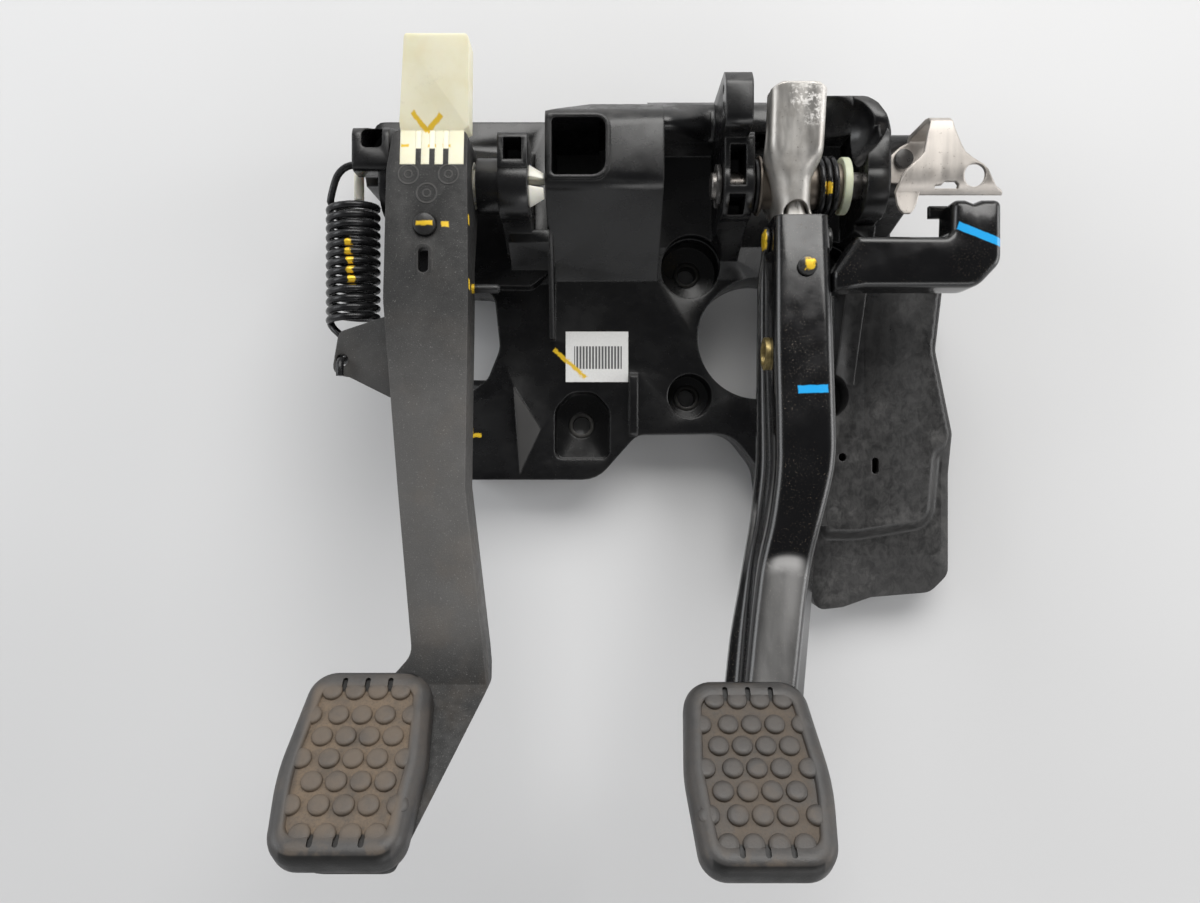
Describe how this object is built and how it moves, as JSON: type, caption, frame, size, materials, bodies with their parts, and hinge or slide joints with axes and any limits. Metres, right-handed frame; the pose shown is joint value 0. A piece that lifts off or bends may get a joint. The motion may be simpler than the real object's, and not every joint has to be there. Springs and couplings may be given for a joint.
{
  "type": "pedal box",
  "caption": "Car pedal box: moulded bulkhead bracket carrying a pressed steel brake pedal and a plastic clutch pedal, with return and assist springs and crash levers",
  "frame": {"origin": "centre of the four servo bolts on the bulkhead plane", "axes": "+Z out of the bulkhead to the driver, +Y up in the car, +X to the right seen from the driver"},
  "size_m": [0.2976, 0.3145, 0.178],
  "materials": {
    "moulding": "satin moulded black",
    "plated_steel": "zinc plated",
    "bare_steel": "bare pressed sheet, scuffed",
    "black_steel": "black oxide",
    "black_paint": "gloss black dip coat",
    "black_plastic": "grained black",
    "white_plastic": "natural white",
    "ivory_plastic": "natural ivory",
    "pale_plastic": "pale green white",
    "brass_bush": "sintered",
    "label": "paper label, no print",
    "pad_rubber": "worn, dusty"
  },
  "bodies": {
    "bracket": {"bracket": "moulding", "bolt_sleeves": "plated_steel", "part_label": "label", "brake_pivot_pin": "plated_steel", "brake_pivot_clip": "black_steel", "switch_bracket": "bare_steel", "switch_bracket_screws": "black_steel", "clutch_pivot_pin": "white_plastic", "spring_anchor_bush": "white_plastic", "clutch_assist_spring": "black_steel", "brake_return_spring": "black_steel"},
    "brake": {"brake_hub_tube": "bare_steel", "brake_bushes": "black_plastic", "brake_arm": "black_paint", "brake_clevis_bushes": "brass_bush", "brake_crash_lever": "bare_steel", "brake_lever_rivets": "plated_steel", "brake_joint_pin": "plated_steel", "brake_pad_plate": "black_paint", "brake_pad": "pad_rubber", "brake_spring_collar": "pale_plastic", "switch_flag_arm": "black_paint"},
    "clutch": {"clutch_arm": "black_plastic", "clutch_bushes": "white_plastic", "clutch_crash_lever": "ivory_plastic", "clutch_lever_screw": "black_steel", "clutch_switch_pin": "black_plastic", "clutch_pad": "pad_rubber"}
  },
  "joints": [
    {"name": "brake_pivot", "type": "hinge", "parent": "bracket", "child": "brake", "pos_m": [0.011, 0.06, 0.07], "axis": [1, 0, 0], "range_deg": [0, 18], "stiffness_Nm_per_rad": 3, "springref_deg": -34.38, "deforming": ["brake_return_spring"]},
    {"name": "clutch_pivot", "type": "hinge", "parent": "bracket", "child": "clutch", "pos_m": [-0.151, 0.06, 0.07], "axis": [1, 0, 0], "range_deg": [0, 25], "stiffness_Nm_per_rad": 2.5, "springref_deg": -34.38, "deforming": ["clutch_assist_spring"]}
  ]
}
